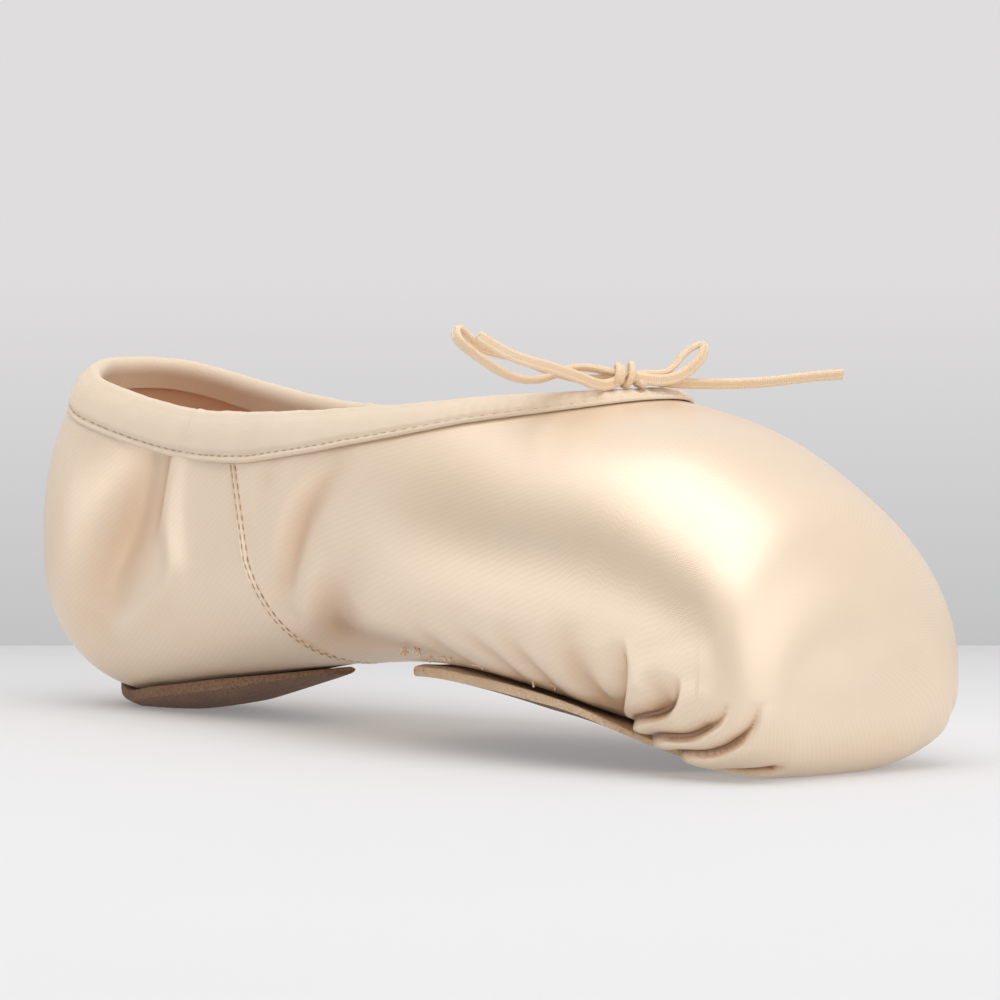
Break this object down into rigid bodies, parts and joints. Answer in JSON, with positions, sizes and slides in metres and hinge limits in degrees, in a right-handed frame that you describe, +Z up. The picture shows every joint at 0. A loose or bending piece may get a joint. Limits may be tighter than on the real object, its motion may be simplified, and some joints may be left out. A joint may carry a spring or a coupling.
{
  "type": "pointe shoe",
  "caption": "Satin pointe shoe with a stiff toe box, split leather sole, collar binding and a tied drawstring bow.",
  "frame": {"origin": "bottom centre of the shoe's box, on the floor, measured without the bow", "axes": "+X from the heel to the toe, +Y across to the left side of the shoe seen from its heel, +Z up"},
  "size_m": [0.226, 0.077, 0.0841],
  "materials": {
    "satin": "peach-cream woven satin with a soft sheen",
    "matte_cloth": "matte cream cotton binding",
    "raw_leather": "raw tan split leather with bare edges",
    "lining": "matte brownish pink cloth"
  },
  "bodies": {
    "root": {"upper": "satin", "collar_binding": "matte_cloth", "forefoot_sole": "raw_leather", "heel_sole": "raw_leather", "insole": "lining", "drawstring_knot": "satin", "bow_loop_left": "satin", "bow_end_left": "satin", "bow_loop_right": "satin", "bow_end_right": "satin"}
  },
  "joints": []
}
